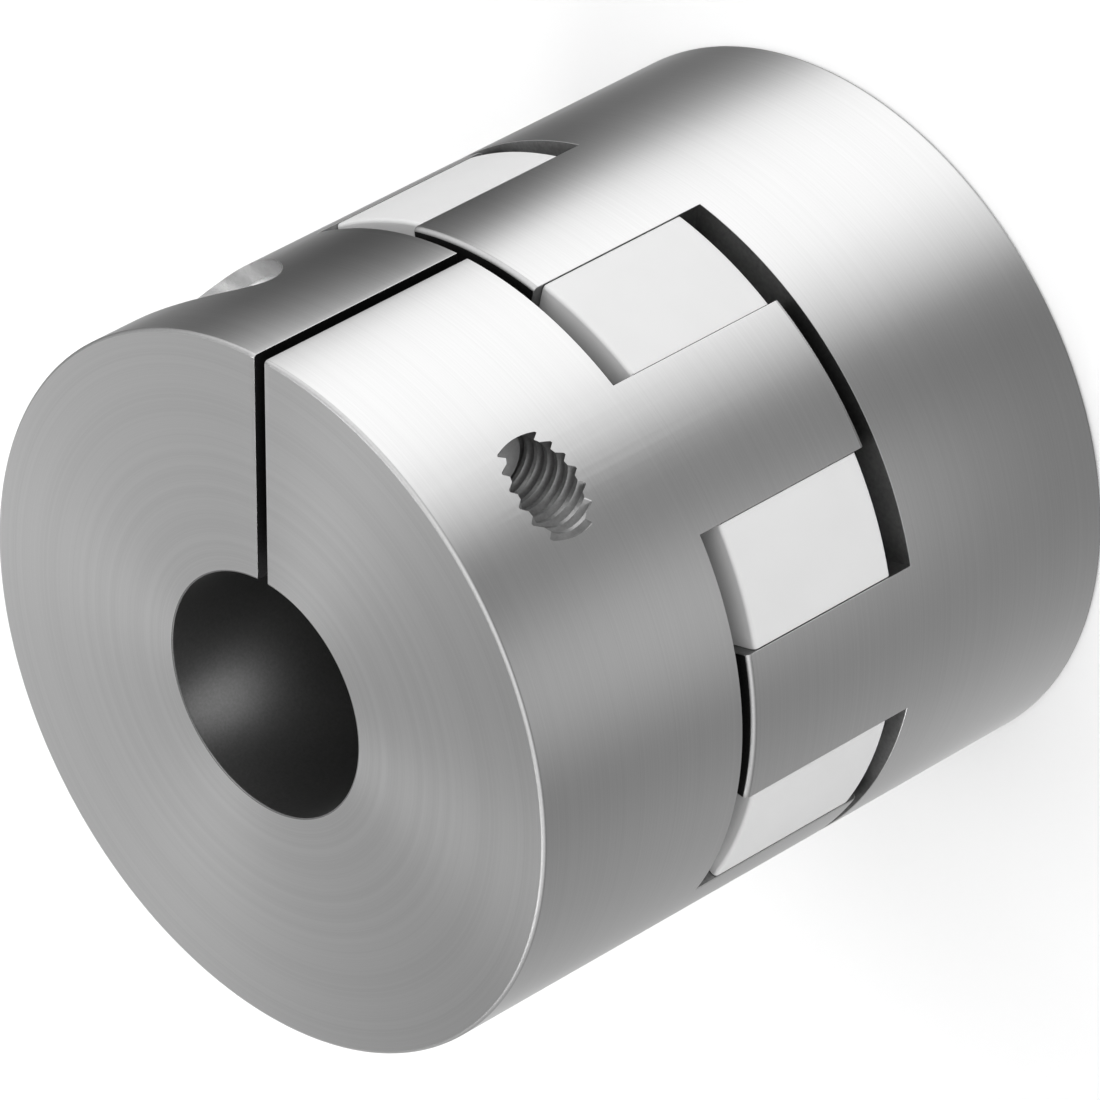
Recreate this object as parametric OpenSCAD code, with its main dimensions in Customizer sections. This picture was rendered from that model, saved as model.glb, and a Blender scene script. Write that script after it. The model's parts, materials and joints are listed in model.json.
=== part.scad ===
// Clamping jaw coupling: two slit clamping hubs whose jaws interleave,
// with a one-piece elastomer insert between them.
// It stands on the rear hub's end face, with the shafts' axis along Z.

/* [Coupling] */
// Outer diameter of the hubs and of their jaws
coupling_d = 56; // [54:1:64]
// Length of each hub's body, without its jaws
hub_len = 20; // [18:1:28]
// Space between the two hub bodies, which the jaws and the insert share
hub_gap = 18; // [16:1:24]
// Rounding of the outer edges at a hub's end face and at its jaw tips
edge_r = 0.4; // [0.2:0.1:1]

/* [Shaft bores] */
// Shaft bore of the front hub
front_bore_d = 19; // [12:0.5:22]
// Shaft bore of the rear hub
rear_bore_d = 19; // [12:0.5:22]
// Chamfer at both mouths of a bore
bore_chamfer = 0.15; // [0.1:0.05:0.5]

/* [Jaws] */
// Number of jaws on each hub
jaw_count = 4; // [3:1:5]
// Angle that one jaw takes up, in degrees
jaw_angle = 25.1; // [20:0.1:28]
// Radial depth of a jaw, from its inner face to the outside
jaw_depth = 11.4; // [9:0.1:12]
// Gap between a jaw's tip and the other hub's body
jaw_tip_gap = 1.1; // [0.5:0.1:2]
// Chamfer on the inner edge of a jaw's tip, which leads the insert in
jaw_lead_in = 0.6; // [0.2:0.1:1]
// Whole jaw pitches added to the half pitch between the two slits
slit_pitches = 2; // [0:1:3]

/* [Elastomer insert] */
// Length of the insert's teeth along the axis
insert_len = 14; // [12:0.5:15]
// Radial thickness of the ring that joins the teeth
ring_wall = 2.7; // [1.5:0.1:4]
// How far the ring lies back from the ends of the teeth
ring_inset = 1; // [0.5:0.1:2]
// Gap between the ring and the inner faces of the jaws
ring_clearance = 0.3; // [0.2:0.1:0.6]
// Gap between a tooth's flank and the jaw beside it
flank_clearance = 0.05; // [0.02:0.01:0.1]
// How far the teeth lie below the outside of the hubs
tooth_step = 0.1; // [0:0.05:0.5]
// Rounding of the outer edges of the teeth
tooth_edge_r = 0.3; // [0.2:0.1:1]

/* [Clamp slit] */
// Width of the slit through one side of a hub's body
slit_w = 1; // [0.8:0.1:2]
// Distance of the clamp screw's axis below the hub's outside
screw_inset = 7; // [6:0.5:8]
// Distance from a hub's end face to the clamp screw's axis
screw_from_end = 10; // [8:0.5:12]
// Metal between the screw head's seat and the slit
seat_wall = 4; // [3:0.5:5]

/* [Clamp screw] */
// Thread diameter of the clamp screw
screw_d = 6; // [5:1:6]
// Length of the screw under its head
screw_len = 18; // [14:1:20]
// Diameter of the screw's head
head_d = 10; // [8.5:0.5:10.5]
// Height of the screw's head
head_h = 6; // [5:0.5:7]
// Distance across the flats of the hexagon socket
socket_af = 5; // [4:0.5:5.5]
// Depth of the hexagon socket
socket_depth = 3; // [2:0.5:3.5]
// Gap all round between the head and its counterbore
head_clearance = 0.5; // [0.3:0.1:0.8]
// Gap all round between the shank and its clear hole
shank_clearance = 0.3; // [0.1:0.1:0.5]
// Gap all round between the shank and the threaded hole
thread_clearance = 0.05; // [0.03:0.01:0.1]
// Chamfer at the screw's tip
tip_chamfer = 0.6; // [0.3:0.1:1]
// Chamfer on the top edge of the head
head_chamfer = 0.4; // [0.2:0.1:0.8]

/* [Hidden] */
$fn = 96;

coupling_r = coupling_d / 2;
coupling_len = 2 * hub_len + hub_gap;
jaw_len = hub_gap - jaw_tip_gap;
hub_blank_len = hub_len + jaw_len;
jaw_inner_r = coupling_r - jaw_depth;
jaw_pitch = 360 / jaw_count;
space_angle = jaw_pitch - jaw_angle;
tooth_angle = jaw_pitch / 2 - jaw_angle;
rear_turn = 180 - jaw_pitch * (slit_pitches + 0.5);

ring_r = jaw_inner_r - ring_clearance;
ring_inner_r = ring_r - ring_wall;
tooth_root_r = ring_r - ring_wall / 2;
insert_z = (coupling_len - insert_len) / 2;

screw_r = screw_d / 2;
screw_offset = coupling_r - screw_inset;
head_r = head_d / 2;
seat_x = slit_w / 2 + seat_wall;
socket_corner_d = socket_af / cos(30);
beyond = 1;

hub_colour = [0.66, 0.67, 0.68];
insert_colour = [0.93, 0.93, 0.92];
screw_colour = [0.4, 0.41, 0.43];

// Half section of a ring with both outer corners rounded
module ring_section(inner_r, outer_r, z_low, z_high, corner_r) {
    width = outer_r - inner_r;
    height = z_high - z_low;
    translate([inner_r, z_low])
        square([width - corner_r, height]);
    translate([inner_r, z_low + corner_r])
        square([width, height - 2 * corner_r]);
    for (z = [z_low + corner_r, z_high - corner_r])
        translate([outer_r - corner_r, z])
            circle(r = corner_r);
}

// Triangle from the axis outwards, wide enough to cut the whole outside
module wedge_plan(angle) {
    reach = coupling_r + beyond;
    half_width = reach * tan(angle / 2);
    polygon([[0, 0], [reach, -half_width], [reach, half_width]]);
}

// Half section of the turned blank: a bored body with a ring for the jaws
module blank_section(bore_d) {
    bore_r = bore_d / 2;
    difference() {
        ring_section(bore_r, coupling_r, 0, hub_blank_len, edge_r);
        translate([0, hub_len])
            square([jaw_inner_r, jaw_len + beyond]);
        polygon([
            [bore_r - beyond, -beyond],
            [bore_r + bore_chamfer + beyond, -beyond],
            [bore_r - beyond, bore_chamfer + beyond]
        ]);
        polygon([
            [bore_r - beyond, hub_len + beyond],
            [bore_r + bore_chamfer + beyond, hub_len + beyond],
            [bore_r - beyond, hub_len - bore_chamfer - beyond]
        ]);
        polygon([
            [jaw_inner_r - beyond, hub_blank_len + beyond],
            [jaw_inner_r + jaw_lead_in + beyond, hub_blank_len + beyond],
            [jaw_inner_r - beyond, hub_blank_len - jaw_lead_in - beyond]
        ]);
    }
}

// The milled spaces that leave the jaws standing, one opposite the slit
module jaw_spaces() {
    for (i = [0:jaw_count - 1])
        rotate([0, 0, -90 + i * jaw_pitch])
            translate([0, 0, hub_len])
                linear_extrude(height = jaw_len + beyond)
                    wedge_plan(space_angle);
}

// The slit from the bore to the outside, on the -Y side
module clamp_slit() {
    translate([-slit_w / 2, -coupling_r - beyond, -beyond])
        cube([slit_w, coupling_r + beyond, hub_len + 2 * beyond]);
}

// A round hole along X on the clamp screw's axis
module cross_hole(radius, x_low, x_high) {
    translate([x_low, -screw_offset, screw_from_end])
        rotate([0, 90, 0])
            cylinder(r = radius, h = x_high - x_low);
}

// One clamping hub, with its end face at z = 0 and its jaws upwards
module clamping_hub(bore_d) {
    difference() {
        rotate_extrude()
            blank_section(bore_d);
        jaw_spaces();
        clamp_slit();
        cross_hole(screw_r + shank_clearance, -seat_x - beyond, 0);
        cross_hole(screw_r + thread_clearance, 0, coupling_r + beyond);
        cross_hole(head_r + head_clearance, -coupling_r - beyond, -seat_x);
    }
}

// A hexagon socket head screw, with its head's underside on the seat
module clamp_screw() {
    translate([-seat_x, -screw_offset, screw_from_end])
        rotate([0, 90, 0])
            difference() {
                rotate_extrude()
                    polygon([
                        [0, -head_h],
                        [head_r - head_chamfer, -head_h],
                        [head_r, -head_h + head_chamfer],
                        [head_r, 0],
                        [screw_r, 0],
                        [screw_r, screw_len - tip_chamfer],
                        [screw_r - tip_chamfer, screw_len],
                        [0, screw_len]
                    ]);
                translate([0, 0, -head_h - beyond])
                    cylinder(d = socket_corner_d, h = socket_depth + beyond, $fn = 6);
            }
}

// The front hub's place: end face up, jaws down
module at_front() {
    translate([0, 0, coupling_len])
        rotate([180, 0, 0])
            children();
}

// The rear hub's place: end face down, its jaws between the front hub's
module at_rear() {
    rotate([0, 0, rear_turn])
        children();
}

module front_hub() {
    color(hub_colour)
        at_front()
            clamping_hub(front_bore_d);
}

module rear_hub() {
    color(hub_colour)
        at_rear()
            clamping_hub(rear_bore_d);
}

// One tooth of the insert, which fills the space between two jaws
module insert_tooth() {
    intersection() {
        rotate_extrude()
            ring_section(tooth_root_r, coupling_r - tooth_step, 0, insert_len, tooth_edge_r);
        translate([flank_clearance / sin(tooth_angle / 2), 0, -beyond])
            linear_extrude(height = insert_len + 2 * beyond)
                wedge_plan(tooth_angle);
    }
}

module spider_insert() {
    color(insert_colour)
        translate([0, 0, insert_z]) {
            for (i = [0:2 * jaw_count - 1])
                rotate([0, 0, 90 + (i + 0.5) * jaw_pitch / 2])
                    insert_tooth();
            translate([0, 0, ring_inset])
                difference() {
                    cylinder(r = ring_r, h = insert_len - 2 * ring_inset);
                    translate([0, 0, -beyond])
                        cylinder(r = ring_inner_r, h = insert_len + beyond);
                }
        }
}

module front_clamp_screw() {
    color(screw_colour)
        at_front()
            clamp_screw();
}

module rear_clamp_screw() {
    color(screw_colour)
        at_rear()
            clamp_screw();
}

front_hub();
rear_hub();
spider_insert();
front_clamp_screw();
rear_clamp_screw();
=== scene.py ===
import json
import math

import bpy
from mathutils import Matrix, Vector


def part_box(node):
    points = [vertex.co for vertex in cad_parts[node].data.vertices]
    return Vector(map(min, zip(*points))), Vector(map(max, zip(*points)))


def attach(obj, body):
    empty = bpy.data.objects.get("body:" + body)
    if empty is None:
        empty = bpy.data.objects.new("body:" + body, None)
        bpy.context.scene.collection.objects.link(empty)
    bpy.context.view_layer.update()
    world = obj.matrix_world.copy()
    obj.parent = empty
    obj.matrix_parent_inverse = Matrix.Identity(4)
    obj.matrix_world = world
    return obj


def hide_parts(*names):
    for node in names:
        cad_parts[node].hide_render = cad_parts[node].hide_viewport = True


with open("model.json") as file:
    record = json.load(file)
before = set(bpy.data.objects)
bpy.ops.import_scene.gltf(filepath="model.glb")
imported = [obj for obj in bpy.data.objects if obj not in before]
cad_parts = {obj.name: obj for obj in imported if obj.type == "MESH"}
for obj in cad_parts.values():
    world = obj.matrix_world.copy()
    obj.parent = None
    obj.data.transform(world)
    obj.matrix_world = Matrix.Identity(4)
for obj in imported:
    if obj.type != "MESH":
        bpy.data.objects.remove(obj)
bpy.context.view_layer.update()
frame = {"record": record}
mm = 0.001
hair = 0.01 * mm  # less than this is no distance at all

hubLow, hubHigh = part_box("front_hub")
insertLow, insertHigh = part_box("spider_insert")
screwLow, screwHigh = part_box("front_clamp_screw")
mounts = {m["name"]: m for m in frame["record"]["mounts"]}
outerR = hubHigh.x
boreR = mounts["front_bore"]["dims"]["r_mm"] * mm
couplingLen = hubHigh.z
jawTop = hubHigh.z - hubLow.z  # a jaw's tip, measured from its own hub's end face
screwUp = couplingLen - (screwHigh.z + screwLow.z) / 2  # the screw's axis, from the hub's end face
screwOut = (screwHigh.y + screwLow.y) / 2  # and from the shafts' axis

# The lens and place that put every edge where the photograph has it
cameraSet = {
    "aside": 45.392,  # degrees round from the clamp screw's direction towards the shafts' axis
    "above": 32.040,
    "roll": 0.142,
    "distance": 716.1 * mm,
    "lens": 320.95,
    "sensor": 36,
    "farEnd": 10,  # metres
    "slideX": -0.0497 * mm,
    "slideY": -0.5528 * mm,
}


def placeCamera():
    above, aside, roll = (math.radians(cameraSet[k]) for k in ("above", "aside", "roll"))
    back = Vector((math.cos(above) * math.cos(aside), math.sin(above), math.cos(above) * math.sin(aside)))
    side = Vector((math.sin(aside), 0, -math.cos(aside)))
    top = back.cross(side)
    right = side * math.cos(roll) + top * math.sin(roll)
    up = top * math.cos(roll) - side * math.sin(roll)
    spot = Vector((0, 0, couplingLen / 2)) + back * cameraSet["distance"]
    spot += right * cameraSet["slideX"] + up * cameraSet["slideY"]
    bpy.ops.object.camera_add()
    camera = bpy.context.object
    camera.name = "photoCamera"
    camera.matrix_world = Matrix.Translation(spot) @ Matrix((right, up, back)).transposed().to_4x4()
    camera.data.lens = cameraSet["lens"]
    camera.data.sensor_width = cameraSet["sensor"]
    camera.data.clip_end = cameraSet["farEnd"]
    bpy.context.scene.camera = camera


placeCamera()
print("camera placed")


def near(a, b, tolerance=2 * hair):
    return abs(a - b) < tolerance


def fromAxis(p):
    return math.hypot(p.x, p.y)


def deselectAll():
    if bpy.context.object and bpy.context.object.mode != "OBJECT":
        bpy.ops.object.mode_set(mode="OBJECT")
    bpy.ops.object.select_all(action="DESELECT")


def work(piece):  # makes this the one piece that operators act on
    deselectAll()
    piece.select_set(True)
    bpy.context.view_layer.objects.active = piece


# Selects the faces or edges that pass the test, and leaves edit mode open for what is done to them
def pick(piece, kind, test):
    work(piece)
    bpy.ops.object.mode_set(mode="EDIT")
    bpy.ops.mesh.select_mode(type=kind)
    bpy.ops.mesh.select_all(action="DESELECT")
    bpy.ops.object.mode_set(mode="OBJECT")
    points = piece.data.vertices
    if kind == "FACE":
        for face in piece.data.polygons:
            face.select = test(face.center, face.normal)
    else:
        for edge in piece.data.edges:
            edge.select = test(points[edge.vertices[0]].co, points[edge.vertices[1]].co)
    bpy.ops.object.mode_set(mode="EDIT")


# A test for the edges of one circle, or with no z, for those of all circles of that radius
def onRing(r, z=None, tolerance=2 * hair):
    def test(a, b):
        level = near(a.z, b.z) if z is None else near(a.z, z) and near(b.z, z)
        return level and near(fromAxis(a), r, tolerance) and near(fromAxis(b), r, tolerance)
    return test


def modify(piece, kind, **settings):  # adds a modifier and applies it
    work(piece)
    modifier = piece.modifiers.new(kind.lower(), kind)
    for key, value in settings.items():
        setattr(modifier, key, value)
    bpy.ops.object.modifier_apply(modifier=modifier.name)


def discard(piece):
    bpy.data.objects.remove(piece)


def cut(piece, tool, how="DIFFERENCE"):  # the tool is used up
    modify(piece, "BOOLEAN", operation=how, object=tool, solver="MANIFOLD")
    discard(tool)


def addCylinder(name, radius, low, high, sides, turn=0.0):
    deselectAll()
    bpy.ops.mesh.primitive_cylinder_add(vertices=sides, radius=radius, depth=high - low,
                                        location=(0, 0, (low + high) / 2), rotation=(0, 0, turn))
    piece = bpy.context.object
    piece.name = name
    bpy.ops.object.transform_apply()
    return piece


def addBlock(place, size):
    deselectAll()
    bpy.ops.mesh.primitive_cube_add(size=1, location=place)
    piece = bpy.context.object
    piece.scale = size
    bpy.ops.object.transform_apply()
    return piece


def addWedge(angle, low, high, shift=0.0):  # opens towards -Y, with its tip on the axis
    reach = outerR * 1.1
    deselectAll()
    bpy.ops.mesh.primitive_cylinder_add(vertices=3, radius=reach / 1.5, depth=high - low,
                                        location=(0, -reach / 1.5 - shift, (low + high) / 2))
    piece = bpy.context.object
    piece.scale = (math.sqrt(3) * math.tan(math.radians(angle) / 2), 1, 1)
    bpy.ops.object.transform_apply()
    return piece


def addCopy(piece, name, turn=(0, 0, 0), move=(0, 0, 0)):
    other = piece.copy()
    other.data = piece.data.copy()
    other.name = name
    bpy.context.collection.objects.link(other)
    work(other)
    other.rotation_euler = turn
    other.location = move
    bpy.ops.object.transform_apply()
    return other


def layAlongX(piece, y, z):  # a piece drawn up the z axis, laid along x at this height
    work(piece)
    piece.rotation_euler = (0, math.pi / 2, 0)
    piece.location = (0, y, z)
    bpy.ops.object.transform_apply()


# A thread drawn as a ridge. Its section is moved to its place at the start, wound up the z axis
# and closed at both ends
def addThread(name, rootR, rootHalf, tipR, tipHalf, low, turns, pitch, steps):
    deselectAll()
    bpy.ops.mesh.primitive_plane_add(size=1)
    piece = bpy.context.object
    piece.name = name
    corners = {
        (-1, -1): (rootR, -rootHalf),
        (-1, 1): (rootR, rootHalf),
        (1, 1): (tipR, tipHalf),
        (1, -1): (tipR, -tipHalf),
    }
    for point in piece.data.vertices:
        r, up = corners[(int(math.copysign(1, point.co.x)), int(math.copysign(1, point.co.y)))]
        point.co = (r, 0, low + up)
    work(piece)
    bpy.ops.object.mode_set(mode="EDIT")
    bpy.ops.mesh.select_all(action="SELECT")
    bpy.ops.mesh.delete(type="ONLY_FACE")
    bpy.ops.object.mode_set(mode="OBJECT")
    modify(piece, "SCREW", angle=2 * math.pi, screw_offset=pitch, iterations=turns,
           steps=steps, render_steps=steps, use_merge_vertices=False, use_smooth_shade=False)
    bpy.ops.object.mode_set(mode="EDIT")
    bpy.ops.mesh.select_mode(type="EDGE")
    bpy.ops.mesh.select_all(action="DESELECT")
    bpy.ops.mesh.select_non_manifold()
    bpy.ops.mesh.fill()
    bpy.ops.mesh.select_all(action="SELECT")
    bpy.ops.mesh.normals_make_consistent(inside=False)
    bpy.ops.object.mode_set(mode="OBJECT")
    return piece


# The clamping hub, modelled with its end face down at z = 0 and its jaws up
hubSet = {
    "bodyLen": 20 * mm,
    "jawInnerR": 16.6 * mm,
    "jaws": 4,
    "jawAngle": 25.1,  # degrees
    "rimRound": 0.3 * mm,
    "tipRound": 0.4 * mm,
    "roundSteps": 6,
    "boreChamfer": 0.15 * mm,
    "leadIn": 0.6 * mm,
    "slitWidth": 1.0 * mm,
    "edgeBreak": 0.06 * mm,  # the small break that deburring leaves on milled edges
    "breakSteps": 2,
    "counterbore": {"radius": 5.5 * mm, "sides": 96},
    "seatX": 4.5 * mm,
    "clearHole": {"radius": 3.3 * mm, "sides": 64},
    "tapHole": {"radius": 2.58 * mm, "sides": 48},
    "tapHoleStart": -0.2 * mm,
    "tap": {"rootR": 2.4 * mm, "rootHalf": 0.45 * mm, "tipR": 3.08 * mm, "tipHalf": 0.06 * mm,
            "low": -0.3 * mm, "turns": 23, "pitch": 1.0 * mm, "steps": 48},
    # the last groove ends just under the surface, or it would leave a loose sliver at the hole's top
    "tapStop": {"place": (14.65 * mm, -24.3 * mm, screwUp), "size": (0.9 * mm, 1.0 * mm, 3 * mm)},
    "sides": 240,
    "past": 1 * mm,  # how far the cutting tools reach past the metal at the least
    "weld": 0.002 * mm,
}


# The turned blank: a bored body with a ring for the jaws, its rims rounded and its bore chamfered
def makeBlank():
    s = hubSet
    blank = addCylinder("hub", outerR, 0, jawTop, s["sides"], math.pi / s["sides"])
    pick(blank, "FACE", lambda c, n: n.z > 0.9)
    bpy.ops.mesh.inset(thickness=outerR - s["jawInnerR"])
    bpy.ops.mesh.extrude_region_move(TRANSFORM_OT_translate={"value": (0, 0, s["bodyLen"] - jawTop)})
    bpy.ops.mesh.inset(thickness=s["jawInnerR"] - boreR)
    bpy.ops.mesh.delete(type="FACE")
    pick(blank, "FACE", lambda c, n: n.z < -0.9)
    bpy.ops.mesh.inset(thickness=outerR - boreR)
    bpy.ops.mesh.delete(type="FACE")
    pick(blank, "EDGE", onRing(boreR))
    bpy.ops.mesh.bridge_edge_loops()
    for r, z, size, steps in ((outerR, 0, s["rimRound"], s["roundSteps"]),
                              (outerR, jawTop, s["tipRound"], s["roundSteps"]),
                              (boreR, 0, s["boreChamfer"], 2),
                              (boreR, s["bodyLen"], s["boreChamfer"], 1),
                              (s["jawInnerR"], jawTop, s["leadIn"], 1)):
        pick(blank, "EDGE", onRing(r, z))
        bpy.ops.mesh.bevel(offset=size, segments=steps, profile=0.5)
    bpy.ops.object.mode_set(mode="OBJECT")
    return blank


# The small breaks along the jaws' flanks, the slit and the body's rim between the jaws
def breakEdges(hub, spaceAngle):
    s = hubSet
    half = math.radians(spaceAngle / 2)
    pitch = 2 * math.pi / s["jaws"]

    def onFlank(p):  # on the side of a jaw
        if p.z < s["bodyLen"] - hair or fromAxis(p) < s["jawInnerR"] - 5 * hair:
            return False
        turn = (math.atan2(p.y, p.x) + math.pi / 2) % pitch
        return any(abs(turn - t) * fromAxis(p) < hair for t in (half, pitch - half))

    def onSlit(p):
        return near(abs(p.x), s["slitWidth"] / 2, hair) and p.y < 0 and p.z < s["bodyLen"] + hair

    def edgeToBreak(a, b):
        if onFlank(a) and onFlank(b):
            return not (near(a.z, s["bodyLen"]) and near(b.z, s["bodyLen"]))
        if onSlit(a) and onSlit(b) and near(a.x, b.x):
            return near(fromAxis(a), fromAxis(b), s["rimRound"]) or near(a.z, b.z)
        return all(near(p.z, s["bodyLen"]) and near(fromAxis(p), outerR) for p in (a, b))

    pick(hub, "EDGE", edgeToBreak)
    bpy.ops.mesh.bevel(offset=s["edgeBreak"], segments=s["breakSteps"], profile=0.5, clamp_overlap=False)
    bpy.ops.mesh.select_all(action="SELECT")
    bpy.ops.mesh.remove_doubles(threshold=s["weld"])
    bpy.ops.object.mode_set(mode="OBJECT")


# The screw's way across the slit: counterbore, clear hole and tapped hole
def drillForScrew(hub):
    s = hubSet
    for hole, low, high in ((s["counterbore"], -outerR - 2 * s["past"], -s["seatX"]),
                            (s["clearHole"], -s["seatX"] - s["past"], 0),
                            (s["tapHole"], s["tapHoleStart"], outerR + 2 * s["past"])):
        drill = addCylinder("drill", hole["radius"], low, high, hole["sides"])
        layAlongX(drill, -screwOut, screwUp)
        cut(hub, drill)
    tap = addThread("tap", **s["tap"])
    layAlongX(tap, -screwOut, screwUp)
    cut(tap, addBlock(**s["tapStop"]))
    cut(hub, tap)


def makeHub():
    s = hubSet
    hub = makeBlank()
    spaceAngle = 360 / s["jaws"] - s["jawAngle"]
    wedge = addWedge(spaceAngle, s["bodyLen"], jawTop + 2 * s["past"])
    for k in range(s["jaws"]):
        cut(hub, addCopy(wedge, "space", turn=(0, 0, 2 * math.pi * k / s["jaws"])))
    discard(wedge)
    cut(hub, addBlock((0, -outerR / 2 - s["past"], s["bodyLen"] / 2),
                      (s["slitWidth"], outerR + 2 * s["past"], s["bodyLen"] + 2 * s["past"])))
    breakEdges(hub, spaceAngle)
    drillForScrew(hub)
    return hub


hub = makeHub()
print("hub modelled,", len(hub.data.polygons), "faces")

# The clamp screw, modelled with its head's underside at z = 0 and its tip up
screwSet = {
    "length": 18 * mm,
    "headR": 5.0 * mm,
    "headHeight": 6.0 * mm,
    "headChamfer": 0.4 * mm,
    "knurls": 72,
    "knurlDepth": 0.08 * mm,
    "knurlFrom": 0.1 * mm,  # below this the head's chamfer stays smooth
    "socketFlats": 5.0 * mm,
    "socketDepth": 3.0 * mm,
    "mouth": {"wider": 0.6 * mm, "narrower": 0.4 * mm, "height": 1.0 * mm, "sink": 0.1 * mm, "sides": 48},
    "coreR": 2.45 * mm,
    "tipChamfer": 0.25 * mm,
    "ridge": {"rootR": 2.35 * mm, "rootHalf": 0.4 * mm, "tipR": 2.96 * mm, "tipHalf": 0.05 * mm,
              "low": 1.2 * mm, "turns": 16, "pitch": 1.0 * mm, "steps": 32},
    "past": 1 * mm,
}


def makeScrew():
    s = screwSet
    headTop = -s["headHeight"]
    screw = addCylinder("screw", s["headR"], headTop, 0, s["knurls"] * 2)
    pick(screw, "FACE", lambda c, n: n.z > 0.9)
    bpy.ops.mesh.inset(thickness=s["headR"] - s["coreR"])
    bpy.ops.mesh.extrude_region_move(TRANSFORM_OT_translate={"value": (0, 0, s["length"])})
    pick(screw, "EDGE", onRing(s["headR"], headTop))
    bpy.ops.mesh.bevel(offset=s["headChamfer"], segments=2, profile=0.5)
    pick(screw, "EDGE", onRing(s["coreR"], s["length"]))
    bpy.ops.mesh.bevel(offset=s["tipChamfer"], segments=1)
    bpy.ops.object.mode_set(mode="OBJECT")

    # every second point of the head's side is drawn in, which makes the knurling
    for point in screw.data.vertices:
        step = round(math.atan2(point.co.y, point.co.x) / (math.pi / s["knurls"]))
        onSide = near(fromAxis(point.co), s["headR"], 5 * hair)
        if step % 2 and onSide and point.co.z > headTop + s["knurlFrom"]:
            point.co.xy *= 1 - s["knurlDepth"] / s["headR"]

    cut(screw, addThread("ridge", **s["ridge"]), "UNION")
    cornerR = s["socketFlats"] / 2 / math.cos(math.pi / 6)
    cut(screw, addCylinder("socket", cornerR, headTop - s["past"], headTop + s["socketDepth"], 6))
    mouth = s["mouth"]
    deselectAll()
    bpy.ops.mesh.primitive_cone_add(vertices=mouth["sides"], depth=mouth["height"],
                                    radius1=s["socketFlats"] / 2 + mouth["wider"],
                                    radius2=s["socketFlats"] / 2 - mouth["narrower"],
                                    location=(0, 0, headTop + mouth["sink"]))
    cone = bpy.context.object
    bpy.ops.object.transform_apply()
    cut(screw, cone)
    layAlongX(screw, 0, 0)
    screw.location = (-hubSet["seatX"], -screwOut, screwUp)
    bpy.ops.object.transform_apply()
    return screw


screw = makeScrew()
print("clamp screw modelled,", len(screw.data.polygons), "faces")

# The elastomer insert: eight teeth joined by a ring inside the jaws
insertSet = {
    "toothStep": 0.1 * mm,
    "toothRootR": 14.95 * mm,
    "flankClearance": 0.05 * mm,
    "endRound": 0.3 * mm,
    "endSteps": 5,
    "edgeRound": 0.05 * mm,
    "edgeSteps": 2,
    "sharpUpTo": 0.5 * mm,  # the ring hides this part of a tooth, so its edges stay sharp
    "toothSides": 240,
    "ringR": 16.3 * mm,
    "ringInnerR": 13.6 * mm,
    "ringInset": 1.0 * mm,
    "ringSides": 192,
    "past": 1 * mm,
}


# A ring with a square section, cut out of a full cylinder
def addRing(name, radius, innerR, low, high, sides):
    ring = addCylinder(name, radius, low, high, sides)
    pick(ring, "FACE", lambda c, n: abs(n.z) > 0.9)
    bpy.ops.mesh.inset(thickness=radius - innerR)
    bpy.ops.mesh.delete(type="FACE")
    pick(ring, "EDGE", onRing(innerR, tolerance=10 * hair))
    bpy.ops.mesh.bridge_edge_loops()
    return ring


def makeInsert():
    s = insertSet
    count = hubSet["jaws"] * 2
    toothAngle = 360 / count - hubSet["jawAngle"]
    toothR = outerR - s["toothStep"]
    tooth = addRing("tooth", toothR, s["toothRootR"], insertLow.z, insertHigh.z, s["toothSides"])
    pick(tooth, "EDGE", onRing(toothR))
    bpy.ops.mesh.bevel(offset=s["endRound"], segments=s["endSteps"], profile=0.5)
    bpy.ops.object.mode_set(mode="OBJECT")
    half = math.radians(toothAngle / 2)
    shift = s["flankClearance"] / math.sin(half)
    cut(tooth, addWedge(toothAngle, insertLow.z - s["past"], insertHigh.z + s["past"], shift), "INTERSECT")

    def onSide(p):  # on a flank of the tooth
        return abs(abs(p.x) - (-p.y - shift) * math.tan(half)) < hair

    def edgeToRound(a, b):
        if not (onSide(a) and onSide(b)):
            return False
        if min(fromAxis(a), fromAxis(b)) <= s["toothRootR"] + s["sharpUpTo"]:
            return False
        return not near(a.z, b.z) or near(fromAxis(a), fromAxis(b), s["endRound"] + 10 * hair)

    pick(tooth, "EDGE", edgeToRound)
    bpy.ops.mesh.bevel(offset=s["edgeRound"], segments=s["edgeSteps"], profile=0.5, clamp_overlap=False)
    bpy.ops.object.mode_set(mode="OBJECT")

    insert = addRing("insert", s["ringR"], s["ringInnerR"], insertLow.z + s["ringInset"],
                     insertHigh.z - s["ringInset"], s["ringSides"])
    bpy.ops.object.mode_set(mode="OBJECT")
    for k in range(count):
        cut(insert, addCopy(tooth, "toothCopy", turn=(0, 0, 2 * math.pi * (k + 0.5) / count)), "UNION")
    discard(tooth)
    return insert


insert = makeInsert()
print("insert modelled,", len(insert.data.polygons), "faces")


def shade(hexCode):  # an sRGB hex colour as Blender's linear one
    parts = [int(hexCode[k:k + 2], 16) / 255 for k in (1, 3, 5)]
    return [p / 12.92 if p <= 0.04045 else ((p + 0.055) / 1.055) ** 2.4 for p in parts] + [1.0]


# Settings are properties or inputs, links are inputs and what feeds them,
# and stops are the places and colours of a ramp
def addNode(tree, kind, settings=None, links=None, stops=()):
    node = tree.nodes.new(kind)
    for key, value in (settings or {}).items():
        if isinstance(key, int) or key in node.inputs:
            node.inputs[key].default_value = value
        else:
            setattr(node, key, value)
    for key, socket in (links or {}).items():
        tree.links.new(socket, node.inputs[key])
    if stops:
        marks = node.color_ramp.elements
        while len(marks) < len(stops):
            marks.new(0.5)
        for mark, (place, colour) in zip(marks, stops):
            mark.position = place
            mark.color = colour
    return node


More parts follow.
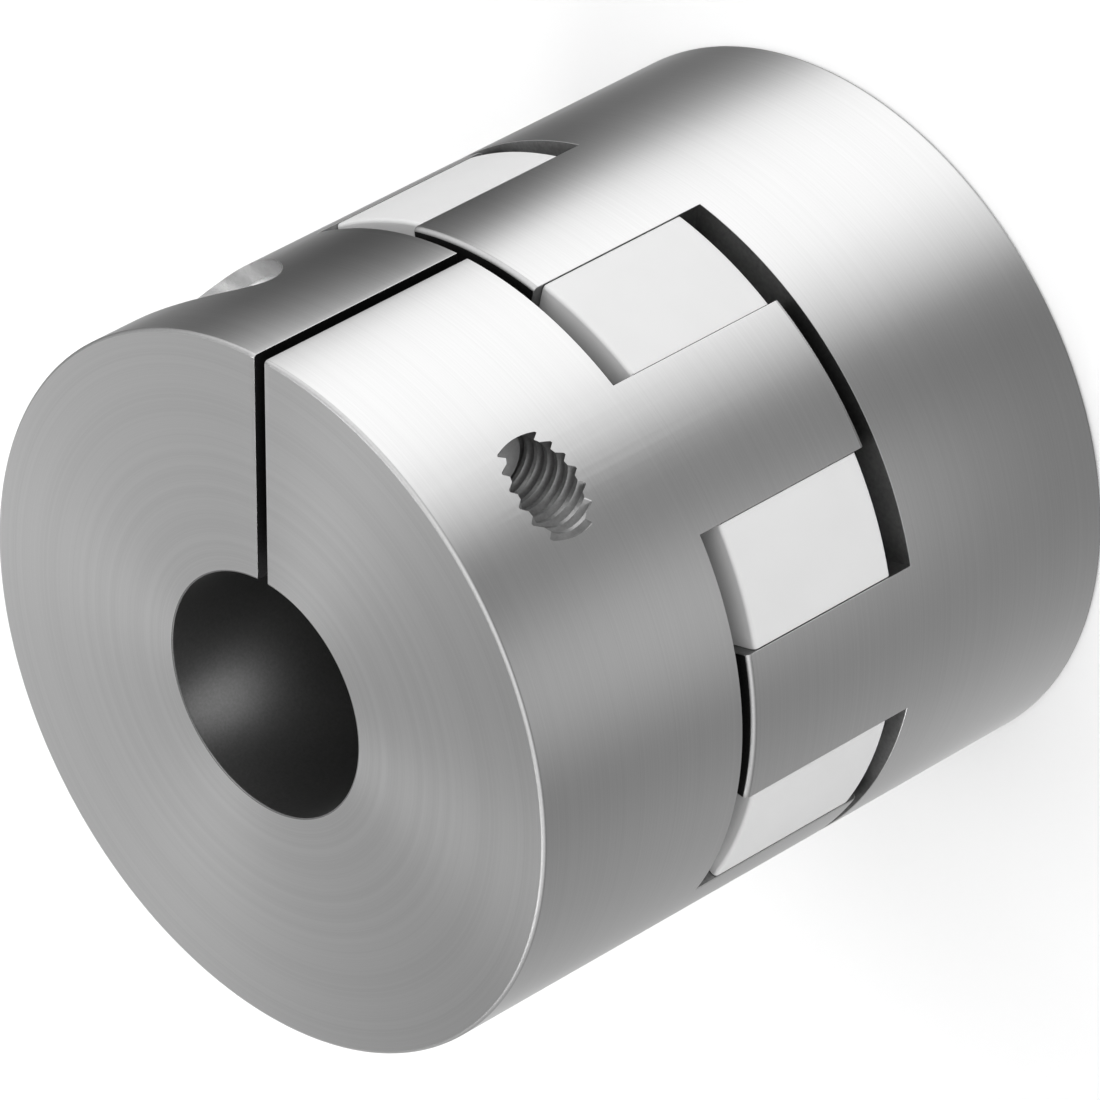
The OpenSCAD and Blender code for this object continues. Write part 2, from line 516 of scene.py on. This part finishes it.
def startMaterial(name):
    material = bpy.data.materials.new(name)
    material.use_nodes = True
    tree = material.node_tree
    tree.nodes.clear()
    return material, tree


# Aluminium 6082, fine turned: bright grey. Its lathe grooves run round the axis and spread
# each highlight across them
turnedSet = {
    "dark": "#C8C8C8",
    "light": "#D6D6D6",
    "darkUpTo": 0.35,
    "lightFrom": 0.8,
    "roughness": (0.27, 0.32),
    "roughnessOver": (0.3, 0.8),  # the span of the noise that the roughness follows
    "anisotropic": 0.75,
    "groove": 0.12 * mm,  # real grooves are about 0.05 mm apart, drawn coarser to show at all
    "ring": 1.4 * mm,  # wider rings on the end face, from the tool's feed
    "share": 0.45,  # how much grooves and rings each weigh
    "bump": {"Strength": 0.12, "Distance": 0.004 * mm},
}


def turnedAluminium(name):
    s = turnedSet
    material, tree = startMaterial(name)
    place = addNode(tree, "ShaderNodeTexCoord")
    axes = addNode(tree, "ShaderNodeSeparateXYZ", None, {"Vector": place.outputs["Object"]})
    flat = addNode(tree, "ShaderNodeCombineXYZ", None, {"X": axes.outputs["X"], "Y": axes.outputs["Y"]})
    out = addNode(tree, "ShaderNodeVectorMath", {"operation": "LENGTH"}, {0: flat.outputs["Vector"]})
    outAndUp = addNode(tree, "ShaderNodeCombineXYZ", None,
                       {"X": out.outputs["Value"], "Y": axes.outputs["Z"]})
    grooves = addNode(tree, "ShaderNodeTexNoise", {"Scale": 1 / s["groove"], "Detail": 2.0},
                      {"Vector": outAndUp.outputs["Vector"]})
    rings = addNode(tree, "ShaderNodeTexNoise", {"Scale": 1 / s["ring"], "Detail": 1.0},
                    {"Vector": out.outputs["Value"]})
    raised = addNode(tree, "ShaderNodeMath", {"operation": "MULTIPLY_ADD", 1: s["share"], 2: 0.25},
                     {0: grooves.outputs["Fac"]})
    mixed = addNode(tree, "ShaderNodeMath", {"operation": "MULTIPLY_ADD", 1: s["share"]},
                    {0: rings.outputs["Fac"], 2: raised.outputs["Value"]})
    colour = addNode(tree, "ShaderNodeValToRGB", None, {"Fac": mixed.outputs["Value"]},
                     ((s["darkUpTo"], shade(s["dark"])), (s["lightFrom"], shade(s["light"]))))
    rough = addNode(tree, "ShaderNodeMapRange",
                    {"From Min": s["roughnessOver"][0], "From Max": s["roughnessOver"][1],
                     "To Min": s["roughness"][0], "To Max": s["roughness"][1]},
                    {"Value": mixed.outputs["Value"]})
    bump = addNode(tree, "ShaderNodeBump", s["bump"], {"Height": grooves.outputs["Fac"]})
    along = addNode(tree, "ShaderNodeVectorMath", {"operation": "CROSS_PRODUCT", 0: (0, 0, 1)},
                    {1: flat.outputs["Vector"]})
    level = addNode(tree, "ShaderNodeVectorMath", {"operation": "NORMALIZE"}, {0: along.outputs["Vector"]})
    shader = addNode(tree, "ShaderNodeBsdfPrincipled",
                     {"Metallic": 1.0, "Anisotropic": s["anisotropic"], "Anisotropic Rotation": 0.25},
                     {"Base Color": colour.outputs["Color"], "Roughness": rough.outputs["Result"],
                      "Normal": bump.outputs["Normal"], "Tangent": level.outputs["Vector"]})
    addNode(tree, "ShaderNodeOutputMaterial", None, {"Surface": shader.outputs["BSDF"]})
    return material


# Metal that isn't fine turned has short random marks, each about as long as the tool or grit
# leaves it
cutSet = {
    # Aluminium 6082, drilled and bored: dull, its dark grey partly the finish and partly painted shade for
    # the deep bore
    "boredAluminiumPaintedShade": {"dark": "#828282", "light": "#8E8E8E", "metallic": 0.97, "roughness": 0.36,
                       "mark": 0.2 * mm},
    # Aluminium 6082, end milled: even grey flanks, their dark grey partly the finish and partly painted
    # shade for the gaps between jaws and teeth
    "milledAluminiumPaintedShade": {"dark": "#8A8A8A", "light": "#9C9C9C", "metallic": 1.0, "roughness": 0.4,
                        "mark": 0.3 * mm},
    # Aluminium 6082, sawn with a slitting saw for the slit, and the jaws' flat ends: nearly black, a painted
    # shade for the narrow gaps they lie in
    "paintedShadeAluminium": {"dark": "#404040", "light": "#505050", "metallic": 1.0, "roughness": 0.5,
                      "mark": 0.15 * mm},
    # Aluminium 6082, tapped: flanks with a soft shine
    "tappedAluminium": {"dark": "#9A9A9A", "light": "#A8A8A8", "metallic": 0.9, "roughness": 0.34,
                        "mark": 0.2 * mm},
    # Aluminium 6082, counterbored with a sharp end mill: light and satin
    "counterboredAluminium": {"dark": "#CCCCCC", "light": "#D8D8D8", "metallic": 1.0, "roughness": 0.25,
                              "mark": 0.4 * mm},
    # Aluminium 6082, brushed along the rims to break the edge: a soft light line
    "brushedRimAluminium": {"dark": "#B8B8B8", "light": "#C0C0C0", "metallic": 1.0, "roughness": 0.43,
                            "mark": 0.2 * mm},
    # Alloy steel with a zinc flake coating: light satin grey
    "satinSteel": {"dark": "#DADADA", "light": "#E4E4E4", "metallic": 0.7, "roughness": 0.36,
                   "mark": 0.3 * mm},
}


def cutMetal(name, dark, light, metallic, roughness, mark):
    material, tree = startMaterial(name)
    place = addNode(tree, "ShaderNodeTexCoord")
    marks = addNode(tree, "ShaderNodeTexNoise", {"Scale": 1 / mark, "Detail": 4.0},
                    {"Vector": place.outputs["Object"]})
    colour = addNode(tree, "ShaderNodeValToRGB", None, {"Fac": marks.outputs["Fac"]},
                     ((0.3, shade(dark)), (0.7, shade(light))))
    bump = addNode(tree, "ShaderNodeBump", {"Strength": 0.2, "Distance": 0.01 * mm},
                   {"Height": marks.outputs["Fac"]})
    shader = addNode(tree, "ShaderNodeBsdfPrincipled", {"Metallic": metallic, "Roughness": roughness},
                     {"Base Color": colour.outputs["Color"], "Normal": bump.outputs["Normal"]})
    addNode(tree, "ShaderNodeOutputMaterial", None, {"Surface": shader.outputs["BSDF"]})
    return material


# Thermoplastic elastomer, moulded, natural white: satin, even, with the faint grain of the mould
elastomerSet = {
    "dark": "#CECECE",
    "light": "#D0D0D0",
    "cloud": 6 * mm,
    "grain": 0.25 * mm,
    "roughness": (0.42, 0.55),
    "bump": {"Strength": 0.08, "Distance": 0.01 * mm},
    "ior": 1.48,
}


def mouldedElastomer(name):
    s = elastomerSet
    material, tree = startMaterial(name)
    place = addNode(tree, "ShaderNodeTexCoord")
    grain = addNode(tree, "ShaderNodeTexNoise", {"Scale": 1 / s["grain"], "Detail": 3.0},
                    {"Vector": place.outputs["Object"]})
    cloud = addNode(tree, "ShaderNodeTexNoise", {"Scale": 1 / s["cloud"], "Detail": 2.0},
                    {"Vector": place.outputs["Object"]})
    colour = addNode(tree, "ShaderNodeValToRGB", None, {"Fac": cloud.outputs["Fac"]},
                     ((0.35, shade(s["dark"])), (0.65, shade(s["light"]))))
    rough = addNode(tree, "ShaderNodeMapRange", {"To Min": s["roughness"][0], "To Max": s["roughness"][1]},
                    {"Value": grain.outputs["Fac"]})
    bump = addNode(tree, "ShaderNodeBump", s["bump"], {"Height": grain.outputs["Fac"]})
    shader = addNode(tree, "ShaderNodeBsdfPrincipled", {"IOR": s["ior"]},
                     {"Base Color": colour.outputs["Color"], "Roughness": rough.outputs["Result"],
                      "Normal": bump.outputs["Normal"]})
    addNode(tree, "ShaderNodeOutputMaterial", None, {"Surface": shader.outputs["BSDF"]})
    return material


metals = {"turnedAluminium": turnedAluminium("turnedAluminium")}
metals.update({name: cutMetal(name, **look) for name, look in cutSet.items()})
hubMetals = [name for name in metals if name != "satinSteel"]
elastomer = mouldedElastomer("mouldedElastomer")


# Where one finish of the hub ends and the next begins
finishSet = {
    "holeFrom": 0.5 * mm,  # in from both ends of the body
    "tappedWithin": 3.2 * mm,  # round the screw's axis
    "counterboredWithin": 5.52 * mm,
    "boredWithin": 0.12 * mm,  # past the bore's own radius, which takes in its chamfers
    "tipEdge": 0.45 * mm,  # this much of a jaw's outer edge is turned as the outside is
}


def hubMetal(c, n):  # which finish a face of the hub has, with painted shade for faces in gaps and the bore, from its middle and its normal
    s = hubSet
    f = finishSet
    r = fromAxis(c)
    outwards = (n.x * c.x + n.y * c.y) / max(r, 1e-9)
    fromScrew = math.hypot(c.y + screwOut, c.z - screwUp)
    inBody = r < outerR - 3 * hair and f["holeFrom"] < c.z < s["bodyLen"] - f["holeFrom"]
    onRim = c.z < s["rimRound"] and r > outerR - s["rimRound"] and -0.99 < n.z < -0.1
    onTipRim = c.z > jawTop - s["tipRound"] and r > outerR - s["tipRound"] and outwards > 0.1
    onTipEdge = near(r, outerR, f["tipEdge"]) and c.z > jawTop - f["tipEdge"] and n.z > 0.12
    # the slit's walls are painted nearly black, a painted shade for the narrow slit
    if near(abs(c.x), s["slitWidth"] / 2, hair) and abs(n.x) > 0.9 and c.y < 0:
        return "paintedShadeAluminium"
    if near(c.z, jawTop) and n.z > 0.95:
        return "paintedShadeAluminium"  # a jaw's flat end is not sawn, but deep in its gap it gets the same painted shade
    if onRim or onTipRim and 0.1 < n.z < 0.99:
        return "brushedRimAluminium"
    if inBody and c.x > 0 and fromScrew < f["tappedWithin"]:
        return "tappedAluminium"
    if inBody and c.x < 0 and fromScrew < f["counterboredWithin"]:
        return "counterboredAluminium"
    # the bore's dark grey is partly painted shade
    if r < boreR + f["boredWithin"]:
        return "boredAluminiumPaintedShade"
    # faces in the jaw spaces: their darker grey is partly painted shade for the gaps
    if c.z > s["bodyLen"] - hair and outwards < 0.3 and not onTipEdge:
        return "milledAluminiumPaintedShade"
    return "turnedAluminium"


hub.data.materials.clear()
for name in hubMetals:
    hub.data.materials.append(metals[name])
for face in hub.data.polygons:
    face.material_index = hubMetals.index(hubMetal(face.center, face.normal))
for piece, material in ((screw, metals["satinSteel"]), (insert, elastomer)):
    piece.data.materials.clear()
    piece.data.materials.append(material)
    for face in piece.data.polygons:
        face.material_index = 0

for piece in (hub, screw, insert):
    work(piece)
    bpy.ops.object.shade_smooth_by_angle(angle=math.radians(35))
    modify(piece, "WEIGHTED_NORMAL", keep_sharp=True, weight=100)
print("materials made")

# The front hub and its screw are the rear ones turned over. The two hubs stand half a jaw pitch apart
overTurn = (math.pi, 0, 0)
rearTurn = (0, 0, math.radians(-45))
pieces = {
    "front_hub": addCopy(hub, "frontHub", overTurn, (0, 0, couplingLen)),
    "rear_hub": addCopy(hub, "rearHub", rearTurn),
    "front_clamp_screw": addCopy(screw, "frontClampScrew", overTurn, (0, 0, couplingLen)),
    "rear_clamp_screw": addCopy(screw, "rearClampScrew", rearTurn),
    "spider_insert": insert,
}
insert.name = "spiderInsert"
discard(hub)
discard(screw)
for node, piece in pieces.items():
    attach(piece, "root")
    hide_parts(node)
print("coupling put together")

floorSet = {
    "hex": "#FAFAFA",
    "size": 6.0,  # metres
    "drop": 0.01 * mm,
    "underDrop": 0.005 * mm,
    "underR": outerR - 1 * mm,
}


def makeFloor():
    material, tree = startMaterial("paleFloor")
    shader = addNode(tree, "ShaderNodeBsdfDiffuse", {"Color": shade(floorSet["hex"])})
    addNode(tree, "ShaderNodeOutputMaterial", None, {"Surface": shader.outputs["BSDF"]})
    deselectAll()
    bpy.ops.mesh.primitive_plane_add(size=floorSet["size"], location=(0, 0, -floorSet["drop"]))
    floor = bpy.context.object
    floor.name = "floor"
    floor.visible_glossy = False  # the bright sides would otherwise mirror nothing but floor
    deselectAll()
    bpy.ops.mesh.primitive_circle_add(vertices=64, radius=floorSet["underR"], fill_type="NGON",
                                      location=(0, 0, -floorSet["underDrop"]))
    under = bpy.context.object
    under.name = "floorUnderHub"  # closes the bore's far end for reflections too
    for piece in (floor, under):
        work(piece)
        bpy.ops.object.transform_apply()
        piece.data.materials.append(material)


makeFloor()

studioSet = {
    # brightness round the horizon, by direction in degrees from +Y towards +X
    "around": ((-180, 0.54), (-158, 0.62), (-145, 0.9), (-131, 1.15), (-119, 0.9), (-106, 0.27), (-88, 0.14),
               (-68, 0.3), (-57, 0.6), (-44, 1.5), (-20, 1.6), (6, 1.5), (24, 1.0), (42, 0.29), (58, 0.2),
               (86, 0.245), (120, 0.26), (150, 0.36), (180, 0.54)),
    "ceiling": 1.5,
    "ceilingFade": (-0.08, 0.45),  # heights of the direction, from the horizon's look to the ceiling's
    "backWall": 0.48,  # above the floor's edge on the far side from the camera
    "backWallTowards": (-0.595, -0.531, 0.603),
    "backWallFade": (0.0, 0.85),  # fades here are the cosine of the angle to the direction
    "softboxes": (((-0.398, -0.012, 0.917), 3.5), ((0.011, -0.630, 0.777), 4.8)),
    "softboxFade": (0.975, 0.995),
}


def makeStudio():
    s = studioSet
    world = bpy.data.worlds.new("studio")
    bpy.context.scene.world = world
    world.use_nodes = True
    tree = world.node_tree
    tree.nodes.clear()
    look = addNode(tree, "ShaderNodeTexCoord")
    parts = addNode(tree, "ShaderNodeSeparateXYZ", None, {"Vector": look.outputs["Generated"]})
    turn = addNode(tree, "ShaderNodeMath", {"operation": "ARCTAN2"},
                   {0: parts.outputs["X"], 1: parts.outputs["Y"]})
    share = addNode(tree, "ShaderNodeMapRange", {"From Min": -math.pi, "From Max": math.pi},
                    {"Value": turn.outputs["Value"]})
    bands = addNode(tree, "ShaderNodeValToRGB", None, {"Fac": share.outputs["Result"]},
                    [((angle + 180) / 360, (value, value, value, 1)) for angle, value in s["around"]])
    wall = addNode(tree, "ShaderNodeVectorMath", {"operation": "DOT_PRODUCT", 1: s["backWallTowards"]},
                   {0: look.outputs["Generated"]})
    overhead = addNode(tree, "ShaderNodeMapRange",
                       {"interpolation_type": "SMOOTHSTEP", "From Min": s["backWallFade"][0],
                        "From Max": s["backWallFade"][1], "To Min": s["ceiling"], "To Max": s["backWall"]},
                       {"Value": wall.outputs["Value"]})
    for towards, brightness in s["softboxes"]:
        beside = addNode(tree, "ShaderNodeVectorMath", {"operation": "DOT_PRODUCT", 1: towards},
                         {0: look.outputs["Generated"]})
        glow = addNode(tree, "ShaderNodeMapRange",
                       {"interpolation_type": "SMOOTHSTEP", "From Min": s["softboxFade"][0],
                        "From Max": s["softboxFade"][1], "To Max": brightness},
                       {"Value": beside.outputs["Value"]})
        overhead = addNode(tree, "ShaderNodeMath", {"operation": "ADD"},
                           {0: overhead.outputs[0], 1: glow.outputs["Result"]})
    high = addNode(tree, "ShaderNodeMapRange",
                   {"From Min": s["ceilingFade"][0], "From Max": s["ceilingFade"][1]},
                   {"Value": parts.outputs["Z"]})
    mixed = addNode(tree, "ShaderNodeMix", {"data_type": "RGBA"},
                    {0: high.outputs["Result"], 6: bands.outputs["Color"], 7: overhead.outputs[0]})
    light = addNode(tree, "ShaderNodeBackground", {"Strength": 1.0}, {"Color": mixed.outputs[2]})
    addNode(tree, "ShaderNodeOutputWorld", None, {"Surface": light.outputs["Background"]})


makeStudio()

# Round reflectors that only the metal mirrors: one for the end face, brighter on its left,
# and three on the floor
cardSet = {
    "behindFace": {
        "spot": (-89 * mm, -80 * mm, 148 * mm), "facing": (0.595, 0.531, -0.603), "radius": 92 * mm,
        "fade": 36 * mm, "middle": 0.43, "towards": (-0.9, -0.44, 0.0), "perMetre": 13.0,
    },
    "greyOnFloor": {
        "spot": (25 * mm, -77 * mm, -0.02 * mm), "facing": (0, 0, 1), "radius": 50 * mm,
        "fade": 26 * mm, "middle": 0.44, "towards": (-1, 0, 0), "perMetre": 2.4,
    },
    "paleOnFloor": {
        "spot": (89 * mm, 18 * mm, -0.02 * mm), "facing": (0, 0, 1), "radius": 56 * mm,
        "fade": 52 * mm, "middle": 0.72, "towards": (1, 0, 0), "perMetre": 0.0,
    },
    "darkOnFloor": {
        "spot": (-66 * mm, 49 * mm, -0.02 * mm), "facing": (0, 0, 1), "radius": 42 * mm,
        "fade": 24 * mm, "middle": 0.02, "towards": (1, 0, 0), "perMetre": 0.0,
    },
}


# Its brightness is set in the middle and grows towards one side, and it fades out at its edge
def addCard(name, spot, facing, radius, fade, middle, towards, perMetre):
    deselectAll()
    bpy.ops.mesh.primitive_circle_add(vertices=96, radius=radius, fill_type="NGON", location=spot,
                                      rotation=Vector(facing).to_track_quat("Z", "Y").to_euler())
    card = bpy.context.object
    card.name = name
    bpy.ops.object.transform_apply()
    material, tree = startMaterial(name + "Paper")
    place = addNode(tree, "ShaderNodeTexCoord")
    fromMiddle = addNode(tree, "ShaderNodeVectorMath", {"operation": "SUBTRACT", 1: spot},
                         {0: place.outputs["Object"]})
    across = addNode(tree, "ShaderNodeVectorMath", {"operation": "DOT_PRODUCT", 1: towards},
                     {0: fromMiddle.outputs["Vector"]})
    glow = addNode(tree, "ShaderNodeMath", {"operation": "MULTIPLY_ADD", 1: perMetre, 2: middle},
                   {0: across.outputs["Value"]})
    light = addNode(tree, "ShaderNodeEmission", None, {"Strength": glow.outputs["Value"]})
    away = addNode(tree, "ShaderNodeVectorMath", {"operation": "LENGTH"}, {0: fromMiddle.outputs["Vector"]})
    edge = addNode(tree, "ShaderNodeMapRange",
                   {"interpolation_type": "SMOOTHSTEP", "From Min": radius - fade, "From Max": radius},
                   {"Value": away.outputs["Value"]})
    clear = addNode(tree, "ShaderNodeBsdfTransparent")
    both = addNode(tree, "ShaderNodeMixShader", None,
                   {0: edge.outputs["Result"], 1: light.outputs["Emission"], 2: clear.outputs["BSDF"]})
    addNode(tree, "ShaderNodeOutputMaterial", None, {"Surface": both.outputs["Shader"]})
    card.data.materials.append(material)
    card.visible_camera = card.visible_diffuse = card.visible_shadow = card.visible_transmission = False


for name, settings in cardSet.items():
    addCard(name, **settings)

# One big lamp lights floor and insert. A faint one stands for the light that would come up
# through the bore
lampSet = {
    "overheadSoftbox": {
        "kind": "AREA", "spot": (-0.75, 0.9, 0.85), "aim": (0, 0, 0.03), "size": 1.2,
        "power": 4.4, "mirrored": False,
    },
    "boreGlow": {
        "kind": "POINT", "spot": (3.4 * mm, 0.4 * mm, 46.8 * mm), "aim": (0, 0, 0), "size": 6 * mm,
        "power": 0.00048, "mirrored": True,
    },
}


def addLamp(name, kind, spot, aim, size, power, mirrored):
    deselectAll()
    bpy.ops.object.light_add(type=kind, location=spot)
    lamp = bpy.context.object
    lamp.name = name
    lamp.data.energy = power
    if kind == "AREA":
        lamp.data.shape = "DISK"
        lamp.data.size = size
        lamp.rotation_euler = (Vector(aim) - Vector(spot)).to_track_quat("-Z", "Y").to_euler()
    else:
        lamp.data.shadow_soft_size = size / 2
    lamp.visible_camera = False
    lamp.visible_glossy = mirrored  # the metal mirrors either the studio or this lamp
    lamp.visible_diffuse = not mirrored


for name, settings in lampSet.items():
    addLamp(name, **settings)

bpy.context.scene.view_settings.view_transform = "Standard"
bpy.context.scene.view_settings.look = "None"
print("floor and light made")
